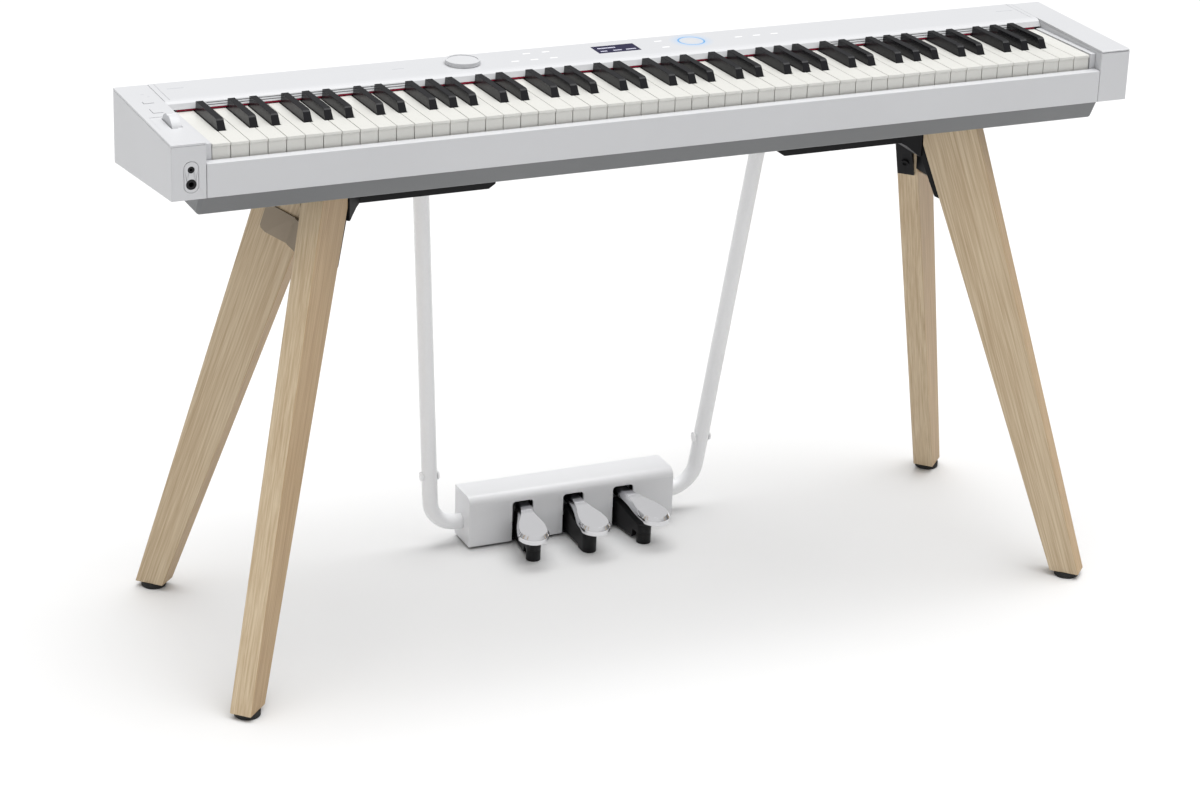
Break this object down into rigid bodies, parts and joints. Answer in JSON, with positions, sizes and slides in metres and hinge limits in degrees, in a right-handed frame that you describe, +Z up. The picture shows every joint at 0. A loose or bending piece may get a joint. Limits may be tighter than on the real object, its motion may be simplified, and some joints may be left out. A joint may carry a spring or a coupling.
{
  "type": "digital piano on stand",
  "caption": "Slim white digital piano on splayed oak legs with a steel-armed stand and a hanging pedal unit on bent tubes.",
  "frame": {"origin": "on the floor, under the middle of the four feet", "axes": "+X to the treble end of the keyboard, +Y from the player to the back, +Z up"},
  "size_m": [1.34, 0.4502, 0.7503],
  "materials": {
    "white_case": "satin white moulding",
    "grey_case": "fine matt",
    "black_plastic": "matt",
    "key_white": "satin, warm white",
    "key_black": "satin black",
    "felt_red": "felt",
    "felt_grey": "felt",
    "circuit_green": "solder mask",
    "display_navy": "glossy dark window",
    "ring_blue": "lit light guide",
    "oak": "pale oak, satin lacquer",
    "black_steel": "satin black paint",
    "taupe_plastic": "matt",
    "glide_rubber": "matt",
    "white_steel": "satin white paint",
    "pedal_chrome": "polished",
    "bright_steel": "plain"
  },
  "bodies": {
    "piano_and_stand": {"bass_arm": "black_steel", "bass_back_leg": "oak", "bass_bracket": "black_steel", "bass_end_block": "white_case", "bass_end_cap": "white_case", "bass_front_leg": "oak", "bass_pedal_tube": "white_steel", "circuit_boards": "circuit_green", "control_panel": "white_case", "display_window": "display_navy", "felt_strip": "felt_red", "headphone_jacks": "black_plastic", "jack_plate": "white_case", "key_bed": "black_plastic", "key_end_fillers": "white_case", "key_pivot_rail": "bright_steel", "key_slip": "white_case", "key_stop_felt": "felt_grey", "leg_glides": "glide_rubber", "lower_case": "grey_case", "pedal_chassis": "black_plastic", "pedal_housing": "white_case", "pedal_pivot_shaft": "bright_steel", "rear_panel": "white_case", "rear_sockets": "black_plastic", "spacer_plates": "taupe_plastic", "speaker_drivers": "black_plastic", "stand_bolts": "black_steel", "touch_ring": "ring_blue", "treble_arm": "black_steel", "treble_back_leg": "oak", "treble_bracket": "black_steel", "treble_end_block": "white_case", "treble_end_cap": "white_case", "treble_front_leg": "oak", "treble_pedal_tube": "white_steel", "tube_mounts": "black_steel", "tube_screws": "white_steel"},
    "function_button": {"function_button": "white_case"},
    "keys_a": {"keys_a": "key_white"},
    "keys_a_sharp": {"keys_a_sharp": "key_black"},
    "keys_b": {"keys_b": "key_white"},
    "keys_c": {"keys_c": "key_white"},
    "keys_c_sharp": {"keys_c_sharp": "key_black"},
    "keys_d": {"keys_d": "key_white"},
    "keys_d_sharp": {"keys_d_sharp": "key_black"},
    "keys_e": {"keys_e": "key_white"},
    "keys_f": {"keys_f": "key_white"},
    "keys_f_sharp": {"keys_f_sharp": "key_black"},
    "keys_g": {"keys_g": "key_white"},
    "keys_g_sharp": {"keys_g_sharp": "key_black"},
    "left_adjuster_foot": {"left_adjuster_foot": "black_plastic"},
    "left_pedal": {"left_pedal": "pedal_chrome"},
    "middle_pedal": {"middle_pedal": "pedal_chrome"},
    "pitch_wheel": {"pitch_wheel": "white_case"},
    "power_button": {"power_button": "white_case"},
    "right_adjuster_foot": {"right_adjuster_foot": "black_plastic"},
    "right_pedal": {"right_pedal": "pedal_chrome"},
    "volume_knob": {"volume_knob": "white_case"}
  },
  "joints": [
    {"name": "press_c", "type": "hinge", "parent": "piano_and_stand", "child": "keys_c", "pos_m": [0, 0.07783, 0.71162], "axis": [1, 0, 0], "range_deg": [0, 3], "stiffness_Nm_per_rad": 4, "springref_deg": -20.63},
    {"name": "press_c_sharp", "type": "hinge", "parent": "piano_and_stand", "child": "keys_c_sharp", "pos_m": [0, 0.07783, 0.71162], "axis": [1, 0, 0], "range_deg": [0, 3], "stiffness_Nm_per_rad": 4, "springref_deg": -14.9},
    {"name": "press_d", "type": "hinge", "parent": "piano_and_stand", "child": "keys_d", "pos_m": [0, 0.07783, 0.71162], "axis": [1, 0, 0], "range_deg": [0, 3], "stiffness_Nm_per_rad": 4, "springref_deg": -20.63},
    {"name": "press_d_sharp", "type": "hinge", "parent": "piano_and_stand", "child": "keys_d_sharp", "pos_m": [0, 0.07783, 0.71162], "axis": [1, 0, 0], "range_deg": [0, 3], "stiffness_Nm_per_rad": 4, "springref_deg": -14.9},
    {"name": "press_e", "type": "hinge", "parent": "piano_and_stand", "child": "keys_e", "pos_m": [0, 0.07783, 0.71162], "axis": [1, 0, 0], "range_deg": [0, 3], "stiffness_Nm_per_rad": 4, "springref_deg": -20.63},
    {"name": "press_f", "type": "hinge", "parent": "piano_and_stand", "child": "keys_f", "pos_m": [0, 0.07783, 0.71162], "axis": [1, 0, 0], "range_deg": [0, 3], "stiffness_Nm_per_rad": 4, "springref_deg": -20.63},
    {"name": "press_f_sharp", "type": "hinge", "parent": "piano_and_stand", "child": "keys_f_sharp", "pos_m": [0, 0.07783, 0.71162], "axis": [1, 0, 0], "range_deg": [0, 3], "stiffness_Nm_per_rad": 4, "springref_deg": -14.9},
    {"name": "press_g", "type": "hinge", "parent": "piano_and_stand", "child": "keys_g", "pos_m": [0, 0.07783, 0.71162], "axis": [1, 0, 0], "range_deg": [0, 3], "stiffness_Nm_per_rad": 4, "springref_deg": -20.63},
    {"name": "press_g_sharp", "type": "hinge", "parent": "piano_and_stand", "child": "keys_g_sharp", "pos_m": [0, 0.07783, 0.71162], "axis": [1, 0, 0], "range_deg": [0, 3], "stiffness_Nm_per_rad": 4, "springref_deg": -14.9},
    {"name": "press_a", "type": "hinge", "parent": "piano_and_stand", "child": "keys_a", "pos_m": [0, 0.07783, 0.71162], "axis": [1, 0, 0], "range_deg": [0, 3], "stiffness_Nm_per_rad": 4, "springref_deg": -20.63},
    {"name": "press_a_sharp", "type": "hinge", "parent": "piano_and_stand", "child": "keys_a_sharp", "pos_m": [0, 0.07783, 0.71162], "axis": [1, 0, 0], "range_deg": [0, 3], "stiffness_Nm_per_rad": 4, "springref_deg": -14.9},
    {"name": "press_b", "type": "hinge", "parent": "piano_and_stand", "child": "keys_b", "pos_m": [0, 0.07783, 0.71162], "axis": [1, 0, 0], "range_deg": [0, 3], "stiffness_Nm_per_rad": 4, "springref_deg": -20.63},
    {"name": "turn_volume", "type": "hinge", "parent": "piano_and_stand", "child": "volume_knob", "pos_m": [-0.214, 0.076, 0.74], "axis": [0, 0, -1], "range_deg": [-150, 150]},
    {"name": "bend_pitch", "type": "hinge", "parent": "piano_and_stand", "child": "pitch_wheel", "pos_m": [-0.6418, -0.044, 0.7265], "axis": [-1, 0, 0], "range_deg": [-40, 40], "stiffness_Nm_per_rad": 0.05},
    {"name": "press_power", "type": "slide", "parent": "piano_and_stand", "child": "power_button", "axis": [0, 0, -1], "range_m": [0, 0.0012], "stiffness_N_per_m": 400, "springref_m": -0.001},
    {"name": "press_function", "type": "slide", "parent": "piano_and_stand", "child": "function_button", "axis": [0, 0, -1], "range_m": [0, 0.0012], "stiffness_N_per_m": 400, "springref_m": -0.001},
    {"name": "press_left_pedal", "type": "hinge", "parent": "piano_and_stand", "child": "left_pedal", "pos_m": [0, 0.2, 0.053], "axis": [1, 0, 0], "range_deg": [0, 7], "stiffness_Nm_per_rad": 8, "springref_deg": -8.59},
    {"name": "press_middle_pedal", "type": "hinge", "parent": "piano_and_stand", "child": "middle_pedal", "pos_m": [0, 0.2, 0.053], "axis": [1, 0, 0], "range_deg": [0, 7], "stiffness_Nm_per_rad": 8, "springref_deg": -8.59},
    {"name": "press_right_pedal", "type": "hinge", "parent": "piano_and_stand", "child": "right_pedal", "pos_m": [0, 0.2, 0.053], "axis": [1, 0, 0], "range_deg": [0, 7], "stiffness_Nm_per_rad": 8, "springref_deg": -8.59},
    {"name": "turn_left_adjuster", "type": "hinge", "parent": "piano_and_stand", "child": "left_adjuster_foot", "pos_m": [-0.08314, 0.09949, 0], "axis": [0, 0, 1], "range_deg": [-180, 180]},
    {"name": "turn_right_adjuster", "type": "hinge", "parent": "piano_and_stand", "child": "right_adjuster_foot", "pos_m": [0.08674, 0.09949, 0], "axis": [0, 0, 1], "range_deg": [-180, 180]}
  ]
}
